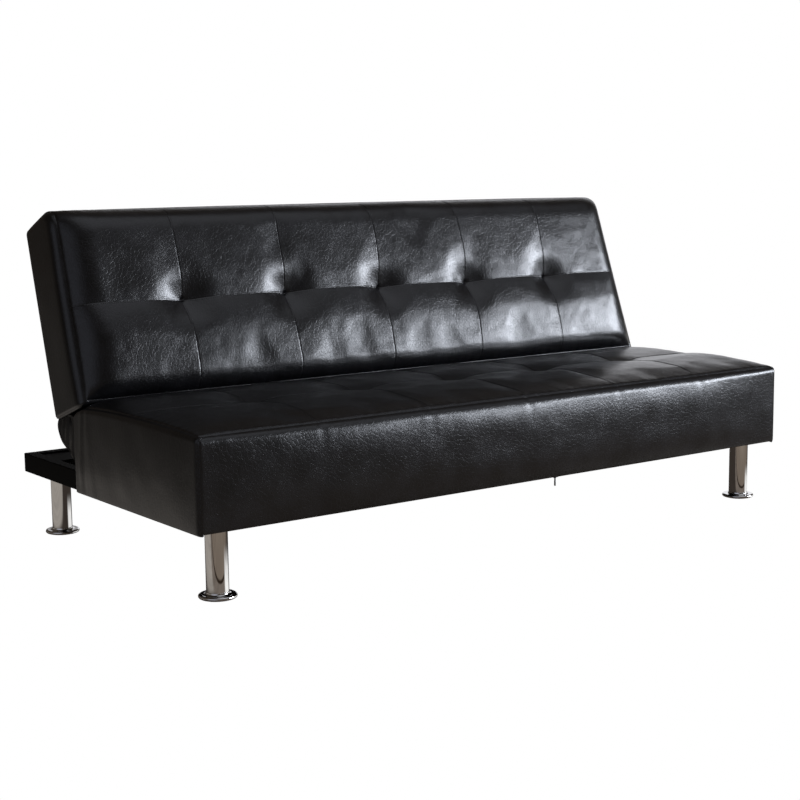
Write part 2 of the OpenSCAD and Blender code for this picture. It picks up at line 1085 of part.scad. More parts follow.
side_rail_left();
side_rail_right();
front_rail();
rear_rail();
mid_rail();
centre_rail();
corner_blocks();
leg_front_left();
leg_front_right();
leg_rear_left();
leg_rear_right();
foot_front_left();
foot_front_right();
foot_rear_left();
foot_rear_right();
foot_pads();
leg_plates();
leg_screws();
seat_board_front();
seat_board_rear();
seat_board_left();
seat_board_right();
seat_springs();
spring_clips();
seat_felt();
seat_cushion();
seat_front_cover();
seat_rear_cover();
seat_side_cover_left();
seat_side_cover_right();
dust_cover();
zip_tape();
zip_teeth();
zip_slider();
zip_pull();
gusset();
seat_plate_left();
seat_plate_right();
hinge_pin_left();
hinge_pin_right();
back_plate_left();
back_plate_right();
ratchet_case_left();
ratchet_case_right();
hinge_bolts_seat();
hinge_bolts_back();
back_top_rail();
back_bottom_rail();
back_stile_left();
back_stile_right();
back_mid_stiles();
back_webbing();
back_cushion();
back_top_cover();
back_bottom_cover();
back_side_cover_left();
back_side_cover_right();
back_rear_cover();
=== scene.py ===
import json
import math
import bpy
import numpy as np
from mathutils import Matrix, Vector


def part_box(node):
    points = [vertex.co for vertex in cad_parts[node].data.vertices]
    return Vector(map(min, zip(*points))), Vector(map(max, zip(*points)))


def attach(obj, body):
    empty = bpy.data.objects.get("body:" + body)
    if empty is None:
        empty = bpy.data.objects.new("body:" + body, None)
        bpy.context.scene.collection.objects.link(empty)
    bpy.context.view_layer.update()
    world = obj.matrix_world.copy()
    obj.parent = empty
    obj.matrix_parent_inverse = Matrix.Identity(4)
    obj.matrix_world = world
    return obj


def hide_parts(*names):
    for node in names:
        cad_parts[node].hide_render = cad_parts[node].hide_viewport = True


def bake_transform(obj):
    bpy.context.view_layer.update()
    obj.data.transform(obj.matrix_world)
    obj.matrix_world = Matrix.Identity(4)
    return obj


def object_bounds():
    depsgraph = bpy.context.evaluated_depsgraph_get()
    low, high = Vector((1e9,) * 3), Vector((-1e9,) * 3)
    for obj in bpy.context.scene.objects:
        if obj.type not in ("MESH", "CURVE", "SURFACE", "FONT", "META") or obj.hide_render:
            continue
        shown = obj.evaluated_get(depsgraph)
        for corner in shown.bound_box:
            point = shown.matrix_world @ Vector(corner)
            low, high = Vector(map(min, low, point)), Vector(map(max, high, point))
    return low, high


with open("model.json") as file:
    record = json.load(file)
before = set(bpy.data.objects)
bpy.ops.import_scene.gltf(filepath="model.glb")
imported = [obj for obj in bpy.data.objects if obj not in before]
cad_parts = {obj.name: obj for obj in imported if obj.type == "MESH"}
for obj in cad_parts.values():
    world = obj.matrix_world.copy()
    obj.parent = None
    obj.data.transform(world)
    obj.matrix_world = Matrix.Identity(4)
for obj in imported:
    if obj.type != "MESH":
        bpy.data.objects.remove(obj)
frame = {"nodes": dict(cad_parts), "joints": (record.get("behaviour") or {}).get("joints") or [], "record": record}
cad_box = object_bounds()
nodes = frame["nodes"]
joint = {j["name"]: j for j in frame["joints"]}
scene = bpy.context.scene
MM = 0.001

# ---------------------------------------------------------------- sizes in mm
HALF_W = cad_box[1][0] / MM
FRONT = cad_box[0][1] / MM
CORE_W = -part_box("seat_side_cover_left")[1].x / MM
COLUMNS = 6
COLUMN_W = 2 * CORE_W / COLUMNS
TUFT_X = np.array([-CORE_W + COLUMN_W * k for k in range(1, COLUMNS)])
SEAT_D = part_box("seat_side_cover_left")[1][1] / MM - FRONT
SEAT_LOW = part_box("seat_side_cover_left")[0][2] / MM
SEAM_Z = 366.0                       # top edge of the seat's front face
SEAT_TUFT = 300.0                    # row of seat tufts behind the front face
PIN_Y, PIN_Z = (v / MM for v in joint["back_fold"]["pos_m"][1:])
PIN_D = PIN_Y - FRONT
REAR_R = SEAT_D - PIN_D              # round rear edge of the seat
SLOPE_D, SLOPE = 540.0, math.tan(math.radians(15.75))
LEAN = math.radians(71.5)            # the back above the level
BACK_LO, BACK_HI = 28.8, 523.0       # along the back, from the hinge pin
FACE, REAR = -41.5, 113.5            # through the back: side-seam plane, rear cloth
BACK_MID = BACK_LO + 240             # row of back tufts
TOP_FALL = 9.0                       # the back's top is lower by so much at its rear
TOP_RISE = 0.0045                    # and climbs by so much for each mm to the right
ENDS_FROM, ENDS_OVER = 620.0, 280.0  # where the back's ends begin to draw in

# a sewn edge: radius of the padding there, and how far round it the seam lies from
# the first face, in degrees
FRONT_TOP = (18, 58)
FRONT_SIDE = (13, 50)
SIDE_TOP = (14, 62)
BACK_SIDE_FRONT = (27, 68)
BACK_SIDE_TOP = (24, 45)
BACK_TOP_FRONT = (52, 15)
BACK_LOW_FRONT = (22, 66)


def seam_at(edge):
    """Distance of a seam from the second and from the first face's plane."""
    r, turn = edge
    return r - r * math.sin(math.radians(turn)), r - r * math.cos(math.radians(turn))


# ---------------------------------------------------------------- helpers
def noise(x, y, size, seed, n=61):
    """Smooth random relief from -1 to 1 with features of about size mm."""
    g = np.random.default_rng(seed).uniform(-1, 1, (n, n))
    u, v = np.asarray(x) / size + 1000, np.asarray(y) / size + 1000
    i, j = np.floor(u).astype(int), np.floor(v).astype(int)
    f, h = u - i, v - j
    f = f * f * f * (f * (6 * f - 15) + 10)
    h = h * h * h * (h * (6 * h - 15) + 10)
    a, b = g[i % n, j % n], g[(i + 1) % n, j % n]
    c, d = g[i % n, (j + 1) % n], g[(i + 1) % n, (j + 1) % n]
    return (a * (1 - f) + b * f) * (1 - h) + (c * (1 - f) + d * f) * h


def bell(d, width):
    """1 at d = 0, falling away over width."""
    return np.exp(-(d / width) ** 2)


def drop(d, r):
    """How far padding of radius r has rounded off at distance d from the next face."""
    e = np.clip(r - d, 0, r)
    return r - np.sqrt(np.maximum(r * r - e * e, 0))


def steps(lo, hi, seams, step, near=(0, 1.2, 2.4, 3.8, 5.5, 8, 12)):
    """Grid lines from lo to hi, closer together beside each seam."""
    pts = {lo, hi}
    pts |= {round(s + k * o, 3) for s in seams for o in near for k in (-1, 1)}
    pts = sorted(p for p in pts if lo <= p <= hi)
    out = []
    for p, q in zip(pts, pts[1:]):
        n = max(1, math.ceil((q - p) / step))
        out += [p + (q - p) * i / n for i in range(n)]
    return np.array(out + [hi])


def add_mesh(name, points, faces, material, smooth=True):
    """New mesh from points in mm."""
    mesh = bpy.data.meshes.new(name)
    mesh.from_pydata((np.asarray(points, float) * MM).tolist(), [], faces)
    mesh.materials.append(material)
    mesh.polygons.foreach_set("use_smooth", [smooth] * len(mesh.polygons))
    mesh.update()
    obj = bpy.data.objects.new(name, mesh)
    scene.collection.objects.link(obj)
    return obj


def grid_faces(nv, nu, start=0):
    i = np.arange(nv * nu).reshape(nv, nu) + start
    return np.stack([i[:-1, :-1], i[:-1, 1:], i[1:, 1:], i[1:, :-1]], -1).reshape(-1, 4)


def padded_sheet(name, top, low, material):
    """Closed pad between two (rows, columns, 3) grids in mm, the outside one first."""
    nv, nu = top.shape[:2]
    k = nv * nu
    i = np.arange(k).reshape(nv, nu)
    outside = grid_faces(nv, nu)
    rim = np.concatenate([i[0, :-1], i[:-1, -1], i[-1, :0:-1], i[:0:-1, 0]])
    after = np.roll(rim, -1)
    walls = np.stack([after, rim, rim + k, after + k], 1)
    faces = np.concatenate([outside, outside[:, ::-1] + k, walls])
    points = np.concatenate([top.reshape(-1, 3), low.reshape(-1, 3)])
    return add_mesh(name, points, faces.tolist(), material)


def back_point(x, b, a):
    """Row-frame point in mm from the back's own places: across, through and along it.
    The back is a little narrower and fuller at its right than a true box, and its top
    falls off towards the rear."""
    up = np.clip((a - BACK_LO) / (BACK_HI - BACK_LO), 0, 1)
    ends = np.clip((np.abs(x) - ENDS_FROM) / ENDS_OVER, 0, 1) ** 2
    deep = np.clip((b - FACE) / (REAR - FACE), 0, 1)
    a = a + up ** 3 * (TOP_RISE * (x + HALF_W) - TOP_FALL * deep ** 1.5)
    x = x - np.sign(x) * ends * (8 * up - 2) + np.where(x > 0, 8 * ends * (1 - up) ** 2, 0)
    return np.stack([x, PIN_Y + a * math.cos(LEAN) + b * math.sin(LEAN),
                     PIN_Z + a * math.sin(LEAN) - b * math.cos(LEAN)], -1)


def relax(p, hold, pressure, growth, cap, frames=18):
    """Cloth under air pressure. p is a (rows, columns, 3) grid in mm with its outside
    along +Z, hold the grid of how firmly each point is sewn down. Returns the grid."""
    nv, nu = p.shape[:2]
    obj = add_mesh("cloth_pass", p.reshape(-1, 3), grid_faces(nv, nu).tolist(), None)
    group = obj.vertex_groups.new(name="sewn")
    level = np.round(hold.ravel() * 50) / 50
    for w in np.unique(level):
        if w > 0:
            group.add(np.flatnonzero(level == w).tolist(), float(w), "REPLACE")
    mod = obj.modifiers.new("cloth", "CLOTH")
    s = mod.settings
    s.quality, s.mass = 6, 0.2
    s.tension_stiffness = s.compression_stiffness = 30
    s.shear_stiffness, s.bending_stiffness = 15, 20
    s.use_pressure, s.uniform_pressure_force = True, pressure
    s.shrink_min = -growth
    s.vertex_group_mass = "sewn"
    s.pin_stiffness = 2.0
    s.effector_weights.gravity = 0
    mod.collision_settings.use_collision = False
    mod.point_cache.frame_start, mod.point_cache.frame_end = 1, frames
    for f in range(1, frames + 1):
        scene.frame_set(f)
    shown = obj.evaluated_get(bpy.context.evaluated_depsgraph_get())
    co = np.empty(nv * nu * 3)
    shown.data.vertices.foreach_get("co", co)
    move = co.reshape(nv, nu, 3) / MM - p
    for _ in range(8):          # the padding under the cloth evens out its sharp folds
        wide = np.pad(move, ((1, 1), (1, 1), (0, 0)), mode="edge")
        move = 0.5 * move + 0.125 * (wide[2:, 1:-1] + wide[:-2, 1:-1]
                                     + wide[1:-1, 2:] + wide[1:-1, :-2])
    far = np.linalg.norm(move, axis=2, keepdims=True)
    move *= np.minimum(1, cap / np.maximum(far, 1e-9))
    mesh = obj.data
    bpy.data.objects.remove(obj)
    bpy.data.meshes.remove(mesh)
    scene.frame_set(1)
    return p + move


def sample(us, vs, grid, u, v):
    """Values of a grid over lines us and vs at the points (u, v)."""
    i = np.clip(np.searchsorted(us, u, side="right") - 1, 0, len(us) - 2)
    j = np.clip(np.searchsorted(vs, v, side="right") - 1, 0, len(vs) - 2)
    f = ((u - us[i]) / (us[i + 1] - us[i]))[..., None]
    g = ((v - vs[j]) / (vs[j + 1] - vs[j]))[..., None]
    return ((grid[j, i] * (1 - f) + grid[j, i + 1] * f) * (1 - g)
            + (grid[j + 1, i] * (1 - f) + grid[j + 1, i + 1] * f) * g)


# ---------------------------------------------------------------- materials
def linear(code):
    """sRGB hex code as linear RGBA."""
    c = [int(code[i:i + 2], 16) / 255 for i in (1, 3, 5)]
    return tuple(v / 12.92 if v <= 0.04045 else ((v + 0.055) / 1.055) ** 2.4 for v in c) + (1,)


def add(nt, kind, links=None, values=None, **settings):
    """Adds a shader node with its settings, socket values and links."""
    n = nt.nodes.new(kind)
    for key, v in settings.items():
        setattr(n, key, v)
    for key, v in (values or {}).items():
        n.inputs[key].default_value = v
    for key, socket in (links or {}).items():
        nt.links.new(socket, n.inputs[key])
    return n


def start_material(name):
    m = bpy.data.materials.new(name)
    m.use_nodes = True
    m.node_tree.nodes.clear()
    return m, m.node_tree, m.node_tree.nodes.new("ShaderNodeOutputMaterial")


def per_mm(size):
    """Texture scale that gives features of size mm, in object coordinates in metres."""
    return 1.0 / (size * MM)


def faux_leather(name, stretch):
    """PU-coated fabric, embossed and calendered: a glossy black film with a pebble
    grain, pulled into a net of fine creases, so that highlights break up finely.
    stretch lengthens its crinkles along X, Y and Z."""
    m, nt, out = start_material(name)
    place = add(nt, "ShaderNodeTexCoord").outputs["Object"]
    bend = add(nt, "ShaderNodeTexNoise", {"Vector": place}, {"Scale": per_mm(30), "Detail": 3.0})
    push = add(nt, "ShaderNodeVectorMath", {0: bend.outputs["Color"]}, {"Scale": 0.016},
               operation="SCALE")
    bent = add(nt, "ShaderNodeVectorMath", {0: place, 1: push.outputs[0]}, operation="ADD")

    def creases(size, width):
        cells = add(nt, "ShaderNodeTexVoronoi", {"Vector": bent.outputs[0]},
                    {"Scale": per_mm(size)}, feature="DISTANCE_TO_EDGE")
        return add(nt, "ShaderNodeMapRange", {"Value": cells.outputs["Distance"]},
                   {"From Max": width, "To Min": 1.0, "To Max": 0.0},
                   interpolation_type="SMOOTHSTEP")

    cloud = add(nt, "ShaderNodeTexNoise", {"Vector": place},
                {"Scale": per_mm(70), "Detail": 4.0, "Roughness": 0.6})
    patchy = add(nt, "ShaderNodeMapRange", {"Value": cloud.outputs["Fac"]},
                 {"From Min": 0.38, "From Max": 0.62}, interpolation_type="SMOOTHSTEP")
    wide, fine = creases(11, 0.12), creases(5, 0.2)
    some = add(nt, "ShaderNodeMath", {0: fine.outputs[0], 1: patchy.outputs[0]},
               operation="MULTIPLY")
    net = add(nt, "ShaderNodeMath", {0: wide.outputs[0], 1: some.outputs[0]},
              operation="MAXIMUM")
    tone = add(nt, "ShaderNodeMix", {"Factor": patchy.outputs[0]}, data_type="RGBA")
    tone.inputs[6].default_value = linear("#09090b")
    tone.inputs[7].default_value = linear("#111114")
    # the net of creases is coloured paler than the film, on every face alike
    pale_creases = add(nt, "ShaderNodeMath", {0: net.outputs[0]}, {1: 0.35}, operation="MULTIPLY")
    colour = add(nt, "ShaderNodeMix", {"Factor": pale_creases.outputs[0], 6: tone.outputs[2]},
                 data_type="RGBA")
    colour.inputs[7].default_value = linear("#18181b")
    gloss = add(nt, "ShaderNodeMapRange", {"Value": cloud.outputs["Fac"]},
                {"To Min": 0.27, "To Max": 0.35})
    drawn = add(nt, "ShaderNodeVectorMath", {0: bent.outputs[0]},
                {1: tuple(1 / k for k in stretch)}, operation="MULTIPLY")
    wrinkle = add(nt, "ShaderNodeTexNoise", {"Vector": drawn.outputs[0]},
                  {"Scale": per_mm(6), "Detail": 4.0, "Roughness": 0.6})
    pebble = add(nt, "ShaderNodeTexVoronoi", {"Vector": place}, {"Scale": per_mm(1.6)},
                 feature="SMOOTH_F1")
    b1 = add(nt, "ShaderNodeBump", {"Height": net.outputs[0]},
             {"Strength": 0.22, "Distance": 0.0007}, invert=True)
    b2 = add(nt, "ShaderNodeBump", {"Height": wrinkle.outputs["Fac"], "Normal": b1.outputs[0]},
             {"Strength": 0.5, "Distance": 0.0006})
    b3 = add(nt, "ShaderNodeBump", {"Height": pebble.outputs["Distance"], "Normal": b2.outputs[0]},
             {"Strength": 0.18, "Distance": 0.0003})
    film = add(nt, "ShaderNodeBsdfPrincipled",
               {"Base Color": colour.outputs[2], "Roughness": gloss.outputs[0],
                "Normal": b3.outputs[0]},
               {"Specular IOR Level": 0.5, "Coat Weight": 0.22, "Coat Roughness": 0.2})
    nt.links.new(film.outputs[0], out.inputs["Surface"])
    return m


def surface(name, code, rough, metallic=0.0, grain=1.0, relief=0.0, spread=0.1, spec=0.5):
    """A finish with grain of the given size in mm, its relief in mm and its tone spread."""
    m, nt, out = start_material(name)
    place = add(nt, "ShaderNodeTexCoord").outputs["Object"]
    grit = add(nt, "ShaderNodeTexNoise", {"Vector": place}, {"Scale": per_mm(grain), "Detail": 4.0})
    c = linear(code)
    tone = add(nt, "ShaderNodeMix", {"Factor": grit.outputs["Fac"]}, data_type="RGBA")
    tone.inputs[6].default_value = tuple(v * (1 - spread) for v in c[:3]) + (1,)
    tone.inputs[7].default_value = tuple(min(1, v * (1 + spread)) for v in c[:3]) + (1,)
    body = add(nt, "ShaderNodeBsdfPrincipled", {"Base Color": tone.outputs[2]},
               {"Roughness": rough, "Metallic": metallic, "Specular IOR Level": spec})
    if relief:
        b = add(nt, "ShaderNodeBump", {"Height": grit.outputs["Fac"]},
                {"Strength": 0.6, "Distance": relief * MM})
        nt.links.new(b.outputs[0], body.inputs["Normal"])
    nt.links.new(body.outputs[0], out.inputs["Surface"])
    return m


LEATHER = faux_leather("pu_faux_leather_black", (1, 1, 2))
LEATHER_ACROSS = faux_leather("pu_faux_leather_black_across", (3, 1, 1))
CHROME = surface("chrome_plated_steel_polished", "#e6e5e3", 0.05, 1.0, grain=40, spread=0.02)
BLACK_TIMBER = surface("timber_painted_black", "#020202", 0.7, grain=12, relief=0.2, spec=0.08)
PINE = surface("sawn_pine", "#b98f5c", 0.65, grain=22, relief=0.4, spread=0.16)
ZINC = surface("zinc_plated_steel", "#8d9094", 0.36, 1.0, grain=8, spread=0.08)
WIRE = surface("drawn_spring_wire", "#a3a5a8", 0.30, 1.0, grain=4)
FELT = surface("needled_felt", "#4a4a4a", 0.95, grain=2, relief=0.6, spread=0.35)
CLOTH = surface("nonwoven_cloth_black", "#0e0e0f", 0.85, grain=1.2, relief=0.3, spread=0.3,
                spec=0.3)
GUSSET = surface("gusset_cloth_black", "#09090a", 0.5, grain=1.6, relief=0.3, spread=0.25)
WEBBING = surface("woven_webbing", "#2c2c2e", 0.85, grain=1.5, relief=0.4, spread=0.25)
PLASTIC = surface("moulded_plastic_black", "#141414", 0.45, grain=3, relief=0.05)
THREAD = surface("bonded_polyester_thread", "#18181a", 0.5, grain=1, relief=0.1, spread=0.25)

FINISH = {"faux_leather": LEATHER, "chrome": CHROME, "black_timber": BLACK_TIMBER, "pine": PINE,
          "zinc_steel": ZINC, "spring_wire": WIRE, "felt": FELT, "black_cloth": CLOTH,
          "webbing": WEBBING, "black_plastic": PLASTIC}
for part in frame["record"]["subparts"]:
    mesh = nodes[part["node"]].data
    mesh.materials.clear()
    mesh.materials.append(FINISH[part["material_slot"]])


def dress(obj, body, slot, *replaced, fill=None):
    """Puts obj on its body and hides the CAD nodes that it stands for. Its slot is not used."""
    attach(obj, body)
    if replaced:
        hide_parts(*replaced)
    return obj


# ---------------------------------------------------------------- quilted faces
def column_seam(q, k, y):
    """How far the seam through tuft k wanders to the side at y."""
    off = y - q["row"]
    return 3.5 * np.sin(off / 95 + 1.7 * k + q["seed"]) * np.clip(np.abs(off) / 80, 0, 1)


def row_seam(q, x):
    """How far the seam along the tufts wanders up at x."""
    return 2 * np.sin(x / 130 + q["seed"])


def from_border(q, x, y):
    """Distance from the quilt's nearest edge."""
    return np.minimum(q["half"] - np.abs(x), np.minimum(y - q["y0"], q["y1"] - y))


def quilt(q, x, y):
    """Relief in mm of a tufted quilt above its border. x runs across, y along."""
    row = q["row"]
    rise = 1.0
    for d, w in ((q["half"] - np.abs(x), q["ends"]), (y - q["y0"], q["low"]),
                 (q["y1"] - y, q["high"])):
        t = np.clip(d / w, 0, 1)
        rise = rise * (1 - (1 - t) ** 2) ** 0.8
    # every pillow is a shallow lens
    s = ((x + CORE_W) % COLUMN_W) / COLUMN_W * 2 - 1
    below, above = (y - q["y0"]) / (row - q["y0"]), (y - row) / (q["y1"] - row)
    peak = q["peak"]
    fall = q["sink"] * np.clip((peak - below) / peak, 0, 1) ** 1.25
    lens = np.where(y < row,
                    q["lens"][0] * (1 - (np.clip(below - peak, 0, 1) / (1 - peak)) ** 2) - fall,
                    q["lens"][1] * (1 - (2 * above - 1) ** 2))
    h = q["crest"] + lens * (1 - 0.3 * s * s)
    # the seams lie in soft valleys
    for k, tx in enumerate(TUFT_X):
        h = h - q["valley"] * np.exp(-np.abs(x - tx - column_seam(q, k, y)) / 20)
    across = y - row - row_seam(q, x)
    h = h - q["trough"] * np.exp(-np.abs(across) / np.where(across > 0, 30, 26))
    # and are pulled down to a blind tuft where they cross
    for k, tx in enumerate(TUFT_X):
        u, v = x - tx, y - row
        r = np.hypot(u, v * q["oval"])
        th = np.arctan2(v, u)
        pull = q["pull"] * (1 + 0.08 * math.sin(3.1 * k + q["seed"]))
        h = h - pull * np.exp(-(r / q["reach"]) ** 2) - q["dimple"] * np.exp(-(r / 8) ** 1.5)
        fold = np.cos(5 * th + 2.1 * k + q["seed"]) + 0.7 * np.cos(9 * th - 1.3 * k)
        h = h + q["fold"] * fold * bell(r - 34, 22) * np.clip(r / 20, 0, 1)
    h = h * rise
    lump = 0.5 * noise(x, y, 150, q["seed"]) + 0.25 * noise(x, y, 66, q["seed"] + 1)
    return h + rise * lump


def seam_detail(q, x, y):
    """Sewn lines, their gathers and their stitch marks, added after the cloth pass."""
    seed = q["seed"]
    edge = from_border(q, x, y)
    h = np.zeros_like(x)
    for k, tx in enumerate(TUFT_X):
        d = np.abs(x - tx - column_seam(q, k, y))
        h -= q["groove"] * np.exp(-(d / 1.3) ** 1.5)
        h += 0.45 * np.exp(-d / 8) * np.sin(y / 2.7 + 2.4 * noise(y, y * 0 + k, 22, seed + 5))
    d = np.abs(y - q["row"] - row_seam(q, x))
    h -= q["groove"] * np.exp(-(d / 1.3) ** 1.5)
    h += 0.45 * np.exp(-d / 8) * np.sin(x / 2.9 + 2.4 * noise(x, x * 0, 24, seed + 6))
    along = np.where(edge == y - q["y0"], x, x + y)
    gather = np.sin(along / 4.4 + 3.0 * noise(x, y, 40, seed + 7))
    h += 0.9 * np.exp(-edge / 10) * gather * np.clip(edge / 3, 0, 1)
    return h - 2.6 * bell(edge, 2.6) + 0.35 * noise(x, y, 22, seed + 2)


def hold_down(q, x, y):
    """How firmly each point is sewn: the border and the tufts, and lightly the seams."""
    row = q["row"]
    hold = np.where(from_border(q, x, y) < 4, 1.0, 0.02)
    near = np.full_like(x, 1e9)
    for tx in TUFT_X:
        hold = np.maximum(hold, 0.06 * bell(x - tx, 7))
        near = np.minimum(near, np.hypot(x - tx, y - row))
    hold = np.maximum(hold, 0.06 * bell(y - row, 7))
    return np.where(near < 9, 1.0, hold)


def quilted(q, place, base, low, name):
    """Builds one quilt. base(x, y) is the height of the face under it."""
    us = np.linspace(-q["half"], q["half"], round(2 * q["half"] / q["cell"]) + 1)
    vs = np.linspace(q["y0"], q["y1"], round((q["y1"] - q["y0"]) / q["cell"]) + 1)
    x, y = np.meshgrid(us, vs)
    start = np.stack([x, y, base(x, y) + quilt(q, x, y)], -1)
    soft = relax(start, hold_down(q, x, y), q["pressure"], q["growth"], q["cap"])
    ux = steps(-q["half"], q["half"], list(TUFT_X) + [-q["half"], q["half"]], 7.5)
    vy = steps(q["y0"], q["y1"], [q["row"], q["y0"], q["y1"]], 7.0)
    x, y = np.meshgrid(ux, vy)
    fine = np.stack([x, y, base(x, y) + quilt(q, x, y)], -1)
    fine = fine + sample(us, vs, soft - start, x, y)
    fine[..., 2] += seam_detail(q, x, y)
    obj = padded_sheet(name, place(fine[..., 0], fine[..., 1], fine[..., 2]), low(x, y), LEATHER)
    return obj, (ux, vy, fine)


# A quilt: half wide, from y0 to y1, its tufts at row. In mm: crest, how proud it stands;
# lens, the pillows' own height below and above the row; sink, how far the lower ones fall
# off below their peak; ends, low and high, how wide its sides, bottom and top roll off;
# valley and trough, its seams' depth; pull and dimple, the tufts' depth, reach wide and
# oval; fold, the puckers round them; groove, the sewn line. cell, pressure, growth and cap
# are the cloth pass's grid, air, slack and greatest move.
trim, fall = seam_at(BACK_SIDE_FRONT)


def back_base(x, a):
    """Front of the back under its pillows: set in at the side seams, rolled at the top."""
    return -trim - drop(BACK_HI - a, BACK_TOP_FRONT[0])


def back_front(x, a, h):
    """Row-frame point h mm in front of the side-seam plane, the top corners rounded."""
    return back_point(x, FACE - h, round_off(x, a))


def round_off(x, a):
    """Place along the back with the top corners taken down in a curve."""
    near_top = np.clip((a - BACK_HI + 70) / 70, 0, 1) ** 2
    return a - drop(HALF_W - np.abs(x), BACK_SIDE_TOP[0]) * near_top


BACK_QUILT = dict(
    half=HALF_W - fall, y0=BACK_LO + seam_at(BACK_LOW_FRONT)[1],
    y1=BACK_HI - seam_at(BACK_TOP_FRONT)[1],
    row=BACK_MID, crest=38.0, lens=(5.0, 1.0), peak=0.66, sink=14.0, ends=80.0, low=42.0,
    high=78.0, valley=0.5, trough=2.5, pull=20.0, dimple=6.0, reach=51.0, oval=1.12,
    fold=0.2, groove=0.9, seed=3, cell=10.0, pressure=0.2, growth=0.002, cap=2.0)
back_quilt, back_face = quilted(
    BACK_QUILT, back_front, back_base,
    lambda x, y: back_point(x * 0.996, 30 + 0 * x, BACK_MID + (y - BACK_MID) * 0.985), "back_quilt")


def seat_top(x, d):
    """Seat top without its pillows: front edge roll, level, slope and round rear edge."""
    level = SEAM_Z + 1 + 6 * (1 - ((np.minimum(d, SLOPE_D) - 272) / 268) ** 2)
    slope = SEAM_Z - (d - SLOPE_D) * SLOPE
    back = PIN_Z + np.sqrt(np.maximum(REAR_R ** 2 - np.clip(d - PIN_D, 0, REAR_R - 0.6) ** 2, 0))
    top = np.where(d < SLOPE_D, level, np.where(d < PIN_D + 6.5, slope, back))
    return top - drop(d, FRONT_TOP[0]) - drop(HALF_W - np.abs(x), SIDE_TOP[0])


SEAT_QUILT = dict(
    half=HALF_W - seam_at(SIDE_TOP)[1], y0=seam_at(FRONT_TOP)[1], y1=SEAT_D - 1,
    row=SEAT_TUFT, crest=11.0, lens=(7.0, 6.0), peak=0.575, sink=9.0, ends=80.0, low=70.0,
    high=110.0, valley=0.5, trough=0.8, pull=12.0, dimple=4.0, reach=46.0, oval=1.0,
    fold=0.3, groove=0.45, seed=8, cell=11.0, pressure=0.3, growth=0.002, cap=3.0)
seat_quilt, seat_face = quilted(
    SEAT_QUILT, lambda x, y, h: np.stack([x, FRONT + y, h], -1), seat_top,
    lambda x, y: np.stack([x * 0.996, FRONT + 12 + y * 0.975, 306 + 0 * x], -1), "seat_quilt")


# ---------------------------------------------------------------- boxing
def boxing(name, place, lu, lv, edges, bulge, material, thick=13.0, step=9.0, shape=None,
           extra=None, seed=1):
    """Padded panel lu by lv mm. place(u, v, h) is the point h mm proud of its plane.
    edges gives a (radius, trim) for u = 0, u = lu, v = 0 and v = lv."""
    (r0, t0), (r1, t1), (r2, t2), (r3, t3) = edges
    near = (0, 1, 2.2, 3.6, 5.5, 8, 11, 15, 20)
    us = steps(t0, lu - t1, [t0, lu - t1], step, near)
    vs = steps(t2, lv - t3, [t2, lv - t3], step, near)
    u, v = np.meshgrid(us, vs)
    su, sv = u / lu * 2 - 1, v / lv * 2 - 1
    h = bulge * (1 - su ** 4) * (1 - np.abs(sv) ** 3)
    for r, d in ((r0, u), (r1, lu - u), (r2, v), (r3, lv - v)):
        h = h - drop(d, r)
    e = np.minimum(np.minimum(u - t0, lu - t1 - u), np.minimum(v - t2, lv - t3 - v))
    h = h - 1.9 * bell(e, 2.3)
    h += np.clip(e / 30, 0, 1) * (1.2 * noise(u, v, 150, seed) + 0.6 * noise(u, v, 55, seed + 1))
    if extra:
        h = h + extra(u, v, e)
    bend = shape or (lambda a, b: b)
    inner = 1.5

    def shrink(c, lo, hi):
        return lo + inner + (c - lo) * (hi - lo - 2 * inner) / (hi - lo)

    ui, vi = shrink(u, t0, lu - t1), shrink(v, t2, lv - t3)
    top = place(u, bend(u, v), h)
    low = place(ui, bend(ui, vi), np.minimum(-thick, h - 4))
    return padded_sheet(name, top, low, material)


def wound(side, points):
    """Points of the left (-1) or right (+1) end, their winding kept outwards."""
    return points if side > 0 else points[:, ::-1]


def edge_pair(edge):
    """(radius, trim) as the first face sees the edge, and as the second does."""
    first, second = seam_at(edge)
    return (edge[0], first), (edge[0], second)


# (radius, trim) of the edges that have no seam to a neighbour in front
HEM = (7, 1.0)
REAR_HEM = (7, 2.0)                  # of the back's covers
SEAT_REAR = (10, 2.0)                # of the seat's sides
LOW_END = (10, 3.0)                  # lower edge of the back's sides
FRONT_HEM = 3.0                      # the front hem is pulled up by so much
FACE_H = SEAM_Z + 1 - SEAT_LOW


def front_puckers(u, v, e):
    """Gathers along the front's top seam, and pulls below each column seam."""
    up = FACE_H - v
    g = 0.8 * np.sin(u / 3.3 + 2.0 * noise(u, u * 0, 26, 21)) * np.exp(-up / 11)
    for tx in TUFT_X:
        d = np.abs(u - HALF_W - tx)
        g = g - 2.6 * np.exp(-d / 10) * np.exp(-up / 22)
        g = g + 1.2 * bell(d - 16, 9) * np.exp(-up / 30)
    return g + 1.0 * noise(u, v * 0.4, 90, 23) * np.clip(e / 25, 0, 1)


def side_pulls(u, v, e):
    """Drag lines near the rear of the seat's sides, e mm from the panel's edge."""
    g = 2.2 * bell(u - 560 - 6 * np.sin(v / 40), 7) * np.clip(v / 60, 0, 1)
    g -= 1.6 * bell(u - 545 - 5 * np.sin(v / 55 + 1), 6)
    g += 1.2 * bell(u - 500 - 0.15 * v, 16)
    return g * np.clip(e / 6, 0, 1)


def side_height(u, v):
    """Stretches the seat's side panel up to the seat's own top line."""
    top = np.minimum(SEAM_Z + 1 + 8 * (1 - ((np.minimum(u, SLOPE_D) - 272) / 268) ** 2),
                     seat_top(0 * u, np.maximum(u, FRONT_TOP[0])) + 2)
    return v * (top - SEAT_LOW) / FACE_H


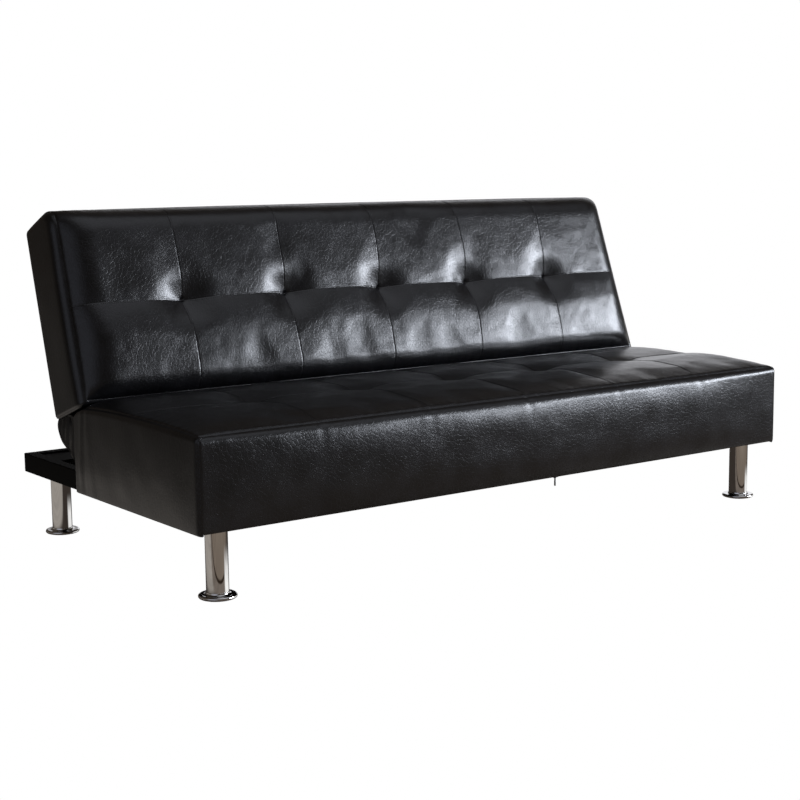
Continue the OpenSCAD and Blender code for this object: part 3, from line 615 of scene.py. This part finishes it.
def set_back(u, v):
    """How far the back's side panel gives way to the rolled top of the quilted face."""
    share = np.clip((REAR - FACE - u) / (REAR - FACE - edge_pair(BACK_SIDE_FRONT)[0][1]), 0, 1)
    return drop(BACK_HI - BACK_LO - v, BACK_TOP_FRONT[0]) * share


def set_up(u, v):
    """How far it gives way to the low panel's rolled front edge."""
    low = np.clip(1 - v / (BACK_HI - BACK_LO), 0, 1) ** 8
    return np.maximum(drop(u, BACK_LOW_FRONT[0]) - LOW_END[1], 0) * low


def drawn_in(x, v):
    """The lower panel's places across, its front corners inside the rounded side edge."""
    share = np.clip((np.abs(x) - HALF_W + 60) / 55, 0, 1)
    return x - np.sign(x) * share * drop(v, BACK_SIDE_FRONT[0])


def front_place(u, v, h):
    """The front panel, its lower hem pulled up a little."""
    return np.stack([u - HALF_W, FRONT - h, SEAT_LOW + v + FRONT_HEM * (1 - v / FACE_H)], -1)


dress(seat_quilt, "base", "faux_leather", "seat_cushion", fill=0.85)
dress(back_quilt, "back", "faux_leather", "back_cushion", fill=0.9)
corner = edge_pair(FRONT_SIDE)[0]
dress(boxing("seat_front_panel", front_place, 2 * HALF_W, FACE_H,
             [corner, corner, HEM, edge_pair(FRONT_TOP)[0]], 13.5, LEATHER_ACROSS,
             extra=front_puckers, seed=31),
      "base", "faux_leather", "seat_front_cover", fill=0.8)
for side, end in ((-1, "left"), (1, "right")):
    def seat_side_place(u, v, h):
        return wound(side, np.stack([side * (HALF_W + h), FRONT + u, SEAT_LOW + v], -1))

    def back_side_place(u, v, h):
        return wound(side, back_point(side * (HALF_W + h), FACE + u + set_back(u, v),
                                      BACK_LO + v + set_up(u, v)))

    panel = boxing("seat_side_panel_" + end, seat_side_place, SEAT_D, FACE_H,
                   [corner, SEAT_REAR, HEM, edge_pair(SIDE_TOP)[0]], 4.5, LEATHER,
                   shape=side_height, extra=side_pulls, seed=40 + side)
    dress(panel, "base", "faux_leather", "seat_side_cover_" + end, fill=0.8)
    panel = boxing("back_side_panel_" + end, back_side_place, REAR - FACE, BACK_HI - BACK_LO,
                   [edge_pair(BACK_SIDE_FRONT)[0], REAR_HEM, LOW_END, edge_pair(BACK_SIDE_TOP)[0]],
                   2.5, LEATHER, step=8.0, seed=50 + side)
    dress(panel, "back", "faux_leather", "back_side_cover_" + end, fill=0.8)
top_end = edge_pair(BACK_SIDE_TOP)[1]
dress(boxing("back_top_panel", lambda u, v, h: back_point(u - HALF_W, FACE + v, BACK_HI + h),
             2 * HALF_W, REAR - FACE, [top_end, top_end, edge_pair(BACK_TOP_FRONT)[0], REAR_HEM],
             3.0, LEATHER, seed=60),
      "back", "faux_leather", "back_top_cover", fill=0.8)
dress(boxing("back_low_panel",
             lambda u, v, h: back_point(drawn_in(u - HALF_W, v), FACE + v, BACK_LO - h)[:, ::-1],
             2 * HALF_W, REAR - FACE, [LOW_END, LOW_END, edge_pair(BACK_LOW_FRONT)[0], (8, 2.0)],
             1.0, LEATHER, seed=61),
      "back", "faux_leather", "back_bottom_cover", fill=0.8)
hemmed = [(1, 0.2)] * 4
dress(boxing("back_rear_cloth",
             lambda u, v, h: back_point(u - HALF_W + 3, REAR + h - 1.5,
                                        round_off(u - HALF_W + 3, BACK_LO + 2 + v))[:, ::-1],
             2 * HALF_W - 6, BACK_HI - BACK_LO - 4, hemmed, 1.5, CLOTH, 2.5, 14.0, seed=62),
      "back", "black_cloth", "back_rear_cover")


def seat_rear_place(u, v, h):
    return np.stack([u - HALF_W + 2, FRONT + SEAT_D + h, SEAT_LOW + v], -1)[:, ::-1]


dress(boxing("seat_rear_cloth", seat_rear_place, 2 * HALF_W - 4, 150,
             [SEAT_REAR, SEAT_REAR, HEM, (2, 1)], 1.0, CLOTH, 6, 12.0, seed=63),
      "base", "black_cloth", "seat_rear_cover")


# ---------------------------------------------------------------- stitching
def thread_run(p, n, length=4.2, gap=1.6, r=0.42):
    """Stitches along the points p (mm) with normals n: short rods, their ends sunk."""
    seg = np.linalg.norm(np.diff(p, axis=0), axis=1)
    s = np.concatenate([[0], np.cumsum(seg)])
    starts = np.arange(0, s[-1] - length, length + gap)

    def at(values, t):
        return np.stack([np.interp(t, s, values[:, i]) for i in range(3)], -1)

    rings = []
    for f, lift, k in ((0.0, -0.35, 0.45), (0.18, 0.25, 1.0), (0.82, 0.25, 1.0),
                       (1.0, -0.35, 0.45)):
        c = at(p, starts + f * length)
        up = at(n, starts + f * length)
        up /= np.linalg.norm(up, axis=1, keepdims=True)
        way = at(p, starts + length) - at(p, starts)
        way /= np.linalg.norm(way, axis=1, keepdims=True)
        across = np.cross(way, up)
        turn = [2 * math.pi * i / 6 for i in range(6)]
        rings.append(np.stack([c + up * (lift + k * r * math.sin(t)) + across * k * r * math.cos(t)
                               for t in turn], 1))
    points = np.stack(rings, 1)                       # stitch, ring, corner, xyz
    count = len(starts)
    one = [[0, 1, 2, 3], [0, 3, 4, 5], [21, 20, 19, 18], [23, 22, 21, 18]]
    for j in range(3):
        for i in range(6):
            one.append([(j + 1) * 6 + i, (j + 1) * 6 + (i + 1) % 6, j * 6 + (i + 1) % 6, j * 6 + i])
    one = np.array(one)
    faces = (one[None] + 24 * np.arange(count)[:, None, None]).reshape(-1, 4)
    return points.reshape(-1, 3), faces


def stitching(name, runs, body):
    """One piece of all the stitches along the runs of (points, normals)."""
    points, faces, start = [], [], 0
    for p, n in runs:
        a, b = thread_run(p, n)
        points.append(a)
        faces.append(b + start)
        start += len(a)
    obj = add_mesh(name, np.concatenate(points), np.concatenate(faces).tolist(), THREAD)
    return dress(obj, body, "faux_leather")


def on_face(face, place, x, y):
    """Points on a finished quilt at (x, y) with their outward normals."""
    ux, vy, grid = face
    p = place(*np.moveaxis(sample(ux, vy, grid, x, y), -1, 0))
    e = 3.0
    px = place(*np.moveaxis(sample(ux, vy, grid, x + e, y), -1, 0))
    py = place(*np.moveaxis(sample(ux, vy, grid, x, y + e), -1, 0))
    n = np.cross(px - p, py - p)
    return p, n / np.linalg.norm(n, axis=1, keepdims=True)


def quilt_runs(q, face, place, offset=3.2):
    """Topstitching on both sides of every seam, stopping short of the tufts."""
    runs = []
    row = q["row"]
    for k, tx in enumerate(TUFT_X):
        for y0, y1 in ((q["y0"] + 12, row - 14), (row + 14, q["y1"] - 12)):
            y = np.arange(y0, y1, 3.0)
            for s in (-1, 1):
                runs.append(on_face(face, place, tx + column_seam(q, k, y) + s * offset, y))
    stops = [-q["half"]] + list(TUFT_X) + [q["half"]]
    for x0, x1 in zip(stops, stops[1:]):
        x = np.arange(x0 + 14, x1 - 14, 3.0)
        for s in (-1, 1):
            runs.append(on_face(face, place, x, row + row_seam(q, x) + s * offset))
    return runs


def seat_place(x, y, h):
    return np.stack([x, FRONT + y, h], -1)


stitching("back_stitching", quilt_runs(BACK_QUILT, back_face, back_front), "back")
runs = quilt_runs(SEAT_QUILT, seat_face, seat_place)
x = np.arange(-SEAT_QUILT["half"] + 14, SEAT_QUILT["half"] - 14, 3.0)
runs.append(on_face(seat_face, seat_place, x, SEAT_QUILT["y0"] + 4 + 0 * x))
stitching("seat_stitching", runs, "base")


# ---------------------------------------------------------------- gusset
def through(points, n):
    """Smooth line through the points, n steps between two of them."""
    p = np.array([points[0]] + list(points) + [points[-1]], float)
    out = []
    for a, b, c, d in zip(p, p[1:], p[2:], p[3:]):
        for t in np.linspace(0, 1, n, endpoint=False):
            out.append(0.5 * (2 * b + (c - a) * t + (2 * a - 5 * b + 4 * c - d) * t * t
                              + (3 * b - a - 3 * c + d) * t ** 3))
    return np.array(out + [p[-2]])


# outer and inner line of the slack cloth, behind the seat's front face and above the floor
SLACK = through([(605, 207), (612, 216), (624, 231), (650, 248), (684, 264), (703, 284),
                 (709, 304), (701, 322)], 6)
TUCK = through([(602, 207), (603, 230), (603, 255), (604, 285), (606, 315), (612, 335),
                (640, 338), (695, 318)], 6)
GUSSET_X = 900.0                     # half its width
PLEATS = 16


def gusset_cloth():
    """The slack cloth from side to side, gathered between its two sewn edges."""
    n = len(SLACK)
    xs = np.linspace(-GUSSET_X, GUSSET_X, 420)
    run = np.linspace(0, 1, n)[:, None]
    swell = np.sin(math.pi * run) ** 0.6
    end = np.clip((GUSSET_X - np.abs(xs)) / 30, 0, 1)[None]
    gather = np.sin(xs / 11 + 3.2 * noise(xs, 0 * xs, 70, 71))
    gather = gather + 0.6 * np.sin(xs / 5.3 + 2.5 * noise(xs, 0 * xs, 40, 72))
    ripple = (2.6 * gather[None] - 2.2 + 2.5 * noise(xs[None], run * 90, 45, 73)) * swell
    ripple = ripple - 7 * (1 - end) ** 2 * swell
    way = np.gradient(SLACK, axis=0)
    out_of = np.stack([way[:, 1], -way[:, 0]], 1)
    out_of /= np.linalg.norm(out_of, axis=1, keepdims=True)
    across = xs[None].repeat(n, 0)
    top = np.stack([across, FRONT + SLACK[:, :1] + out_of[:, :1] * ripple,
                    SLACK[:, 1:] + out_of[:, 1:] * ripple], -1)
    low = np.stack([across, FRONT + TUCK[:, :1] + 0 * ripple, TUCK[:, 1:] + 0 * ripple], -1)
    return padded_sheet("gusset_cloth", top[:, ::-1], low[:, ::-1], GUSSET)


def gusset_pleats():
    """Pleated cloth that closes the two ends."""
    n, run = len(SLACK), np.linspace(0, 1, len(SLACK))[:, None]
    t = np.linspace(0, 1, PLEATS + 1)[None]
    y = SLACK[:, :1] * (1 - t) + TUCK[:, :1] * t
    z = SLACK[:, 1:] * (1 - t) + TUCK[:, 1:] * t
    w = (np.sin(math.pi * t) * np.sin(math.pi * run)) ** 0.5
    g = w * (3.5 * np.sin(y / 4.5 + 1.2 * np.sin(z / 22)) + 2.0 * np.sin(y / 9 + z / 30) - 2.0)
    points, faces = [], []
    for side in (-1, 1):
        grid = np.stack([side * (GUSSET_X + 0.5 + g), FRONT + y, z], -1)
        f = grid_faces(n, PLEATS + 1, len(points))
        faces += (f if side > 0 else f[:, ::-1]).tolist()
        points += grid.reshape(-1, 3).tolist()
    obj = add_mesh("gusset_ends", points, faces, GUSSET)
    obj.modifiers.new("cloth", "SOLIDIFY").thickness = 1.2 * MM
    return obj


gusset, gusset_ends = gusset_cloth(), gusset_pleats()
for obj in (gusset, gusset_ends):
    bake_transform(obj)
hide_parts("gusset")


# ---------------------------------------------------------------- legs and rails
def turned(name, profile, centre, material, n=96):
    """Turned piece from a closed profile of (radius, height) in mm."""
    k = len(profile)
    th = 2 * math.pi * np.arange(n)[:, None] / n
    r, z = np.array(profile, float).T
    points = np.stack([centre[0] + r * np.cos(th), centre[1] + r * np.sin(th), z + 0 * th], -1)
    faces = [(i * k + j, (i + 1) % n * k + j, (i + 1) % n * k + (j + 1) % k, i * k + (j + 1) % k)
             for i in range(n) for j in range(k)]
    obj = add_mesh(name, points.reshape(-1, 3), faces, material)
    edge = obj.modifiers.new("edges", "BEVEL")
    edge.width, edge.segments = 0.4 * MM, 2
    edge.limit_method, edge.angle_limit = "ANGLE", math.radians(40)
    return obj


def bow(cx, cz, r, from_deg, to_deg, n):
    """Arc of a turned piece's profile."""
    turn = [math.radians(from_deg + (to_deg - from_deg) * i / n) for i in range(n + 1)]
    return [(cx + r * math.cos(t), cz + r * math.sin(t)) for t in turn]


def leg(place):
    """Chrome tube and its pressed flange foot, at the node's own place."""
    lo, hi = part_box("leg_" + place)
    centre = ((lo + hi) / 2 / MM)[:2]
    r, z0, z1 = (hi.x - lo.x) / 2 / MM, lo.z / MM, hi.z / MM
    foot_r = (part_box("foot_" + place)[1].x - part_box("foot_" + place)[0].x) / 2 / MM
    wall = [(r, z0), (r, z0 + 2), (r, 60), (r, 110), (r, z1 - 2), (r, z1), (r - 1.5, z1),
            (r - 1.5, z0)]
    rim = bow(foot_r - 4.5, 5.5, 4.5, -90, 90, 14)
    flange = [(r + 0.02, 1)] + rim + [(foot_r - 7, 9.7), (r + 6.5, 9.8)]
    flange += bow(r + 5, 13.6, 3.9, 262, 180, 6) + [(r + 1.0, 15.2), (r + 0.02, 15.2)]
    dress(turned("leg_tube_" + place, wall, centre, CHROME), "base", "chrome", "leg_" + place)
    dress(turned("leg_flange_" + place, flange, centre, CHROME), "base", "chrome", "foot_" + place)


def eased_board(node, r=2.2):
    """The node's board again, with its corners rounded over and its faces a little uneven."""
    lo, hi = (np.array(c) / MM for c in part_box(node))
    x, y, z = (np.array([a, b]) for a, b in zip(lo, hi))
    points = [(x[i], y[j], z[k]) for k in (0, 1) for j, i in ((0, 0), (0, 1), (1, 1), (1, 0))]
    faces = [(0, 3, 2, 1), (4, 5, 6, 7), (0, 1, 5, 4), (1, 2, 6, 5), (2, 3, 7, 6), (3, 0, 4, 7)]
    obj = add_mesh(node + "_painted", points, faces, BLACK_TIMBER, smooth=False)
    edge = obj.modifiers.new("eased", "BEVEL")
    edge.width, edge.segments = r * MM, 3
    return dress(obj, "base", "black_timber", node)


def drawn_board(node, n=24):
    """The back frame's board again, drawn in with the cover that goes over it: a row of
    n sections along its length, in the back's own places."""
    mesh = nodes[node]
    p = np.array([mesh.matrix_world @ v.co for v in mesh.data.vertices]) / MM - (0, PIN_Y, PIN_Z)
    c, s = math.cos(LEAN), math.sin(LEAN)
    p = np.stack([p[:, 0], p[:, 1] * s - p[:, 2] * c, p[:, 1] * c + p[:, 2] * s])
    lo, hi = p.min(1), p.max(1)
    run = int(np.argmax(hi - lo))
    across, deep = (run + 1) % 3, (run + 2) % 3
    q = np.zeros((n, 4, 3))
    q[..., run] = np.linspace(lo[run], hi[run], n)[:, None]
    q[..., across] = np.array([lo[across], hi[across], hi[across], lo[across]])
    q[..., deep] = np.array([lo[deep], lo[deep], hi[deep], hi[deep]])
    x, b, a = np.moveaxis(q.reshape(-1, 3), 1, 0)
    faces = [(4 * i + k, 4 * i + (k + 1) % 4, 4 * i + 4 + (k + 1) % 4, 4 * i + 4 + k)
             for i in range(n - 1) for k in range(4)]
    faces += [(3, 2, 1, 0), tuple(4 * n - 4 + k for k in range(4))]
    obj = add_mesh(node + "_sawn", back_point(x, b, a), faces, PINE, smooth=False)
    edge = obj.modifiers.new("eased", "BEVEL")
    edge.width, edge.segments = 3 * MM, 3
    return dress(obj, "back", "pine", node)


for place in ("front_left", "front_right", "rear_left", "rear_right"):
    leg(place)
for node in ("side_rail_left", "side_rail_right", "rear_rail", "mid_rail"):
    eased_board(node)
for node in ("back_stile_left", "back_stile_right", "back_top_rail"):
    drawn_board(node)


# ---------------------------------------------------------------- floor, room and lamps
def studio_floor():
    """White floor to the eye. Polished steel sees it glow with its light and shade painted
    in: warm grey boards in front, a dark line along the front, painted shade under the
    sofa, a painted glare from the window behind its right end and a painted sunlit patch."""
    m, nt, out = start_material("studio_floor_white")
    path = add(nt, "ShaderNodeLightPath")
    paper = add(nt, "ShaderNodeBsdfDiffuse", values={"Color": linear("#b5b0aa")})
    spot = add(nt, "ShaderNodeNewGeometry")
    x, y, _ = add(nt, "ShaderNodeSeparateXYZ", {0: spot.outputs["Position"]}).outputs

    def band(value, lo, hi):
        return add(nt, "ShaderNodeMapRange", {"Value": value}, {"From Min": lo, "From Max": hi},
                   interpolation_type="SMOOTHSTEP").outputs[0]

    def over(colour, code, share):
        n = add(nt, "ShaderNodeMix", {"Factor": share}, data_type="RGBA")
        if colour is None:
            # painted shade: the floor under the sofa starts from this dark colour
            n.inputs[6].default_value = linear("#3a3430")
        else:
            nt.links.new(colour, n.inputs[6])
        n.inputs[7].default_value = linear(code)
        return n.outputs[2]

    # painted light over the painted shade: the floor left of the sofa and in front of it is lighter, with a dark
    # line along the front
    tone = over(None, "#a09a94", band(x, -0.87, -0.97))
    tone = over(tone, "#766d66", band(y, -0.43, -0.48))
    tone = over(tone, "#2c231c", band(y, -0.555, -0.57))
    tone = over(tone, "#796e64", band(y, -0.585, -0.61))
    tone = over(tone, "#a79c90", band(y, -0.75, -2.2))
    boards = add(nt, "ShaderNodeTexNoise", {"Vector": add(nt, "ShaderNodeVectorMath", {
        0: spot.outputs["Position"]}, {1: (16.0, 1.2, 1.0)}, operation="MULTIPLY").outputs[0]},
        {"Scale": 1.0, "Detail": 3.0})
    veins = add(nt, "ShaderNodeMapRange", {"Value": boards.outputs["Fac"]},
                {"To Min": 0.7, "To Max": 1.3})
    bearing = math.radians(80)      # of the window whose glare is painted on the floor
    aim = add(nt, "ShaderNodeVectorMath", {0: spot.outputs["Incoming"]},
              {1: (-math.sin(bearing), math.cos(bearing), 0.0)}, operation="DOT_PRODUCT")
    # painted glare: white near the steel where the view runs towards the window
    painted_glare = add(nt, "ShaderNodeMath", {0: band(aim.outputs["Value"], 0.76, 0.90),
                                       1: band(path.outputs["Ray Length"], 0.55, 0.20)},
                operation="MULTIPLY")
    tone = over(tone, "#ffffff", painted_glare.outputs[0])
    # painted light falls off: the floor seen further off glows dimmer
    far = add(nt, "ShaderNodeMapRange", {"Value": path.outputs["Ray Length"]},
              {"From Min": 0.95, "From Max": 1.15, "To Min": 1.0, "To Max": 0.3})
    # painted light: a sunlit patch on the floor behind the sofa's right end
    painted_sunlit = add(nt, "ShaderNodeMath", {0: band(x, 0.7, 1.1), 1: band(y, 0.3, 0.6)},
                 operation="MULTIPLY")
    tone = over(tone, "#f4f1ec", painted_sunlit.outputs[0])
    power = add(nt, "ShaderNodeMath", {0: veins.outputs[0], 1: far.outputs[0],
                                       2: painted_sunlit.outputs[0]}, operation="MULTIPLY_ADD")
    # glossy rays see the floor glow with its painted light and shade
    shown = add(nt, "ShaderNodeEmission", {"Color": tone, "Strength": power.outputs[0]})
    seen = add(nt, "ShaderNodeEmission", values={"Color": linear("#ffffff")})
    a = add(nt, "ShaderNodeMixShader", {0: path.outputs["Is Glossy Ray"], 1: paper.outputs[0],
                                        2: shown.outputs[0]})
    b = add(nt, "ShaderNodeMixShader", {0: path.outputs["Is Camera Ray"], 1: a.outputs[0],
                                        2: seen.outputs[0]})
    nt.links.new(b.outputs[0], out.inputs["Surface"])
    return m


reach, below = 9000, -0.5            # just under the feet
corners = [(-reach, -reach, below), (reach, -reach, below), (reach, reach, below),
           (-reach, reach, below)]
add_mesh("studio_floor", corners, [(0, 1, 2, 3)], studio_floor(), smooth=False)


def studio_world():
    """White to the eye. Everything else sees a dim room with soft patches of light."""
    world = bpy.data.worlds.new("studio")
    world.use_nodes = True
    nt = world.node_tree
    nt.nodes.clear()
    out = nt.nodes.new("ShaderNodeOutputWorld")
    path = add(nt, "ShaderNodeLightPath")
    way = add(nt, "ShaderNodeTexCoord").outputs["Generated"]

    def glow(under, azimuth, elevation, inner, outer, code, strength):
        """Adds a soft round patch of light to the room. Angles in degrees, azimuth from the
        front towards the right; full inside inner, gone past outer."""
        a, e = math.radians(azimuth), math.radians(elevation)
        aim = (math.sin(a) * math.cos(e), -math.cos(a) * math.cos(e), math.sin(e))
        near = add(nt, "ShaderNodeVectorMath", {0: way}, {1: aim}, operation="DOT_PRODUCT")
        fade = add(nt, "ShaderNodeMapRange", {"Value": near.outputs["Value"]},
                   {"From Min": math.cos(math.radians(outer)),
                    "From Max": math.cos(math.radians(inner)), "To Max": strength},
                   interpolation_type="SMOOTHSTEP")
        patch = add(nt, "ShaderNodeBackground", {"Strength": fade.outputs[0]},
                    {"Color": linear(code)})
        both = add(nt, "ShaderNodeAddShader", {0: under, 1: patch.outputs[0]})
        return both.outputs[0]

    dim = add(nt, "ShaderNodeBackground",
              values={"Color": linear("#2b2723"), "Strength": 2.4}).outputs[0]
    dim = glow(dim, 30, 66, 14, 38, "#e2e6f0", 0.7)     # ceiling in front: the back's faces
    dim = glow(dim, -62, 8, 10, 40, "#d5dcf0", 0.5)     # left wall: rounded left edges
    dim = glow(dim, 138, 6, 6, 24, "#eceef4", 1.1)      # behind to the right: seat top
    white = add(nt, "ShaderNodeBackground", values={"Color": (1, 1, 1, 1), "Strength": 1.0})
    mix = add(nt, "ShaderNodeMixShader", {0: path.outputs["Is Camera Ray"], 1: dim,
                                          2: white.outputs[0]})
    nt.links.new(mix.outputs[0], out.inputs["Surface"])
    return world


scene.world = studio_world()


def softbox(name, at, aim, w, h, watts, code):
    """Window w by h m at a place, turned to its aim."""
    lamp = bpy.data.lights.new(name, "AREA")
    lamp.shape, lamp.size, lamp.size_y = "RECTANGLE", w, h
    lamp.energy, lamp.color = watts, linear(code)[:3]
    obj = bpy.data.objects.new(name, lamp)
    scene.collection.objects.link(obj)
    obj.location = at
    obj.rotation_euler = (Vector(aim) - Vector(at)).to_track_quat("-Z", "Y").to_euler()


MIDDLE = (0.0, 0.1, 0.5)
DAYLIGHT = "#eef4ff"
softbox("right_window", (6.9, -3.7, 1.9), MIDDLE, 3.0, 1.5, 270, DAYLIGHT)
softbox("front_window", (5.72, -5.28, 1.98), MIDDLE, 3.6, 1.25, 225, DAYLIGHT)


# ---------------------------------------------------------------- camera
def place_camera():
    """Long lens from the front left, a little above the seat."""
    yaw, pitch, roll = math.radians(36.54), math.radians(8.19), -0.0108
    ahead = Vector((math.sin(yaw) * math.cos(pitch), math.cos(yaw) * math.cos(pitch),
                    -math.sin(pitch)))
    right = Vector((math.cos(yaw), -math.sin(yaw), 0))
    up = right.cross(ahead)
    right, up = (right * math.cos(roll) + up * math.sin(roll),
                 up * math.cos(roll) - right * math.sin(roll))
    camera = bpy.data.objects.new("camera", bpy.data.cameras.new("camera"))
    scene.collection.objects.link(camera)
    scene.camera = camera
    camera.matrix_world = Matrix.LocRotScale(
        Vector((-2.4044, -3.1869, 0.8826)), Matrix((right, up, -ahead)).transposed(), None)
    camera.data.sensor_width, camera.data.lens = 36.0, 68.22
    camera.data.clip_end = 60.0


place_camera()
scene.view_settings.view_transform = "Standard"
